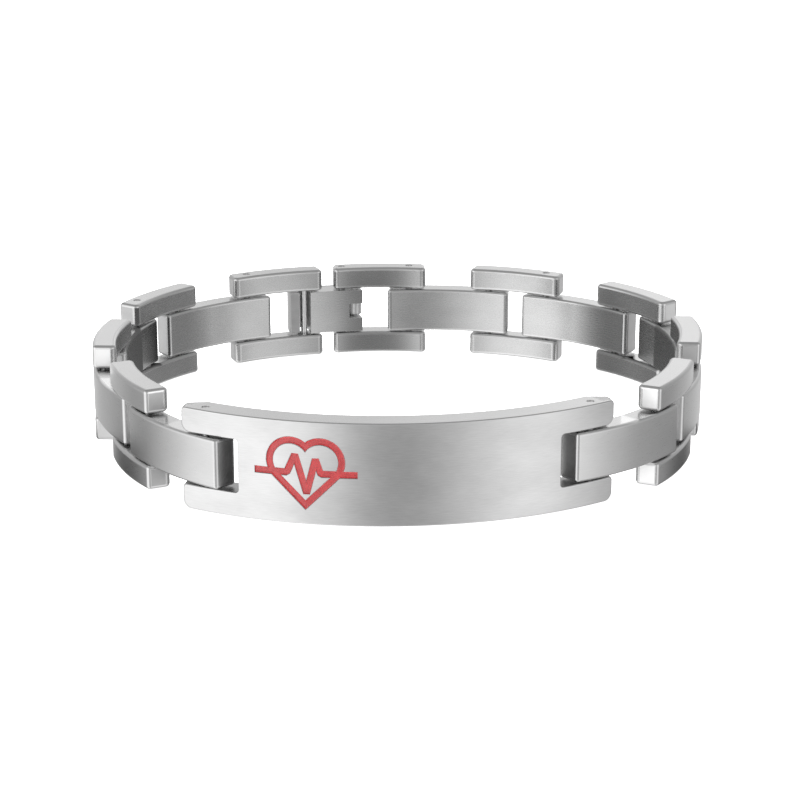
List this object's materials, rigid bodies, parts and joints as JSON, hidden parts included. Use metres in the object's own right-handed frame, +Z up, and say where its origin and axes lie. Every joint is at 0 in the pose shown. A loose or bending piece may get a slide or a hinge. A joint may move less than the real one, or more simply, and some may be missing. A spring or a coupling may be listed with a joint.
{
  "type": "medical alert bracelet",
  "caption": "Flat-link steel identity bracelet lying on its side: curved plate with an enamelled alert motif, centre links between paired bars, fold-over clasp at the back.",
  "frame": {"origin": "under the middle of the whole loop, on the surface that the bracelet lies on", "axes": "+Z up, along the bracelet's width; +X along the loop's longer side; -Y towards the identity plate"},
  "size_m": [0.078, 0.0744, 0.0124],
  "materials": {
    "plate_steel": "brushed along its length",
    "brushed_steel": "brushed faces with polished ends",
    "pin_steel": "polished",
    "red_enamel": "glossy enamel filling"
  },
  "bodies": {
    "bracelet": {"id_plate": "plate_steel", "alert_enamel": "red_enamel", "centre_link_1": "brushed_steel", "centre_link_2": "brushed_steel", "centre_link_3": "brushed_steel", "centre_link_4": "brushed_steel", "centre_link_5": "brushed_steel", "centre_link_6": "brushed_steel", "centre_link_7": "brushed_steel", "centre_link_8": "brushed_steel", "centre_link_9": "brushed_steel", "bar_upper_1": "brushed_steel", "bar_upper_2": "brushed_steel", "bar_upper_3": "brushed_steel", "bar_upper_4": "brushed_steel", "bar_upper_5": "brushed_steel", "bar_upper_6": "brushed_steel", "bar_upper_7": "brushed_steel", "bar_upper_8": "brushed_steel", "bar_upper_9": "brushed_steel", "bar_lower_1": "brushed_steel", "bar_lower_2": "brushed_steel", "bar_lower_3": "brushed_steel", "bar_lower_4": "brushed_steel", "bar_lower_5": "brushed_steel", "bar_lower_6": "brushed_steel", "bar_lower_7": "brushed_steel", "bar_lower_8": "brushed_steel", "bar_lower_9": "brushed_steel", "link_pin_1": "pin_steel", "link_pin_2": "pin_steel", "link_pin_3": "pin_steel", "link_pin_4": "pin_steel", "link_pin_5": "pin_steel", "link_pin_6": "pin_steel", "link_pin_7": "pin_steel", "link_pin_8": "pin_steel", "link_pin_9": "pin_steel", "link_pin_10": "pin_steel", "link_pin_11": "pin_steel", "link_pin_12": "pin_steel", "link_pin_13": "pin_steel", "link_pin_14": "pin_steel", "link_pin_15": "pin_steel", "link_pin_16": "pin_steel", "link_pin_17": "pin_steel", "link_pin_18": "pin_steel", "link_pin_19": "pin_steel", "link_pin_20": "pin_steel", "clasp_base": "brushed_steel", "clasp_hinge_pin": "pin_steel"},
    "cover": {"clasp_cover": "brushed_steel"}
  },
  "joints": [
    {"name": "clasp_hinge", "type": "hinge", "parent": "bracelet", "child": "cover", "pos_m": [-0.00468, 0.0352, 0.0062], "axis": [0, 0, -1], "range_deg": [0, 110]}
  ]
}
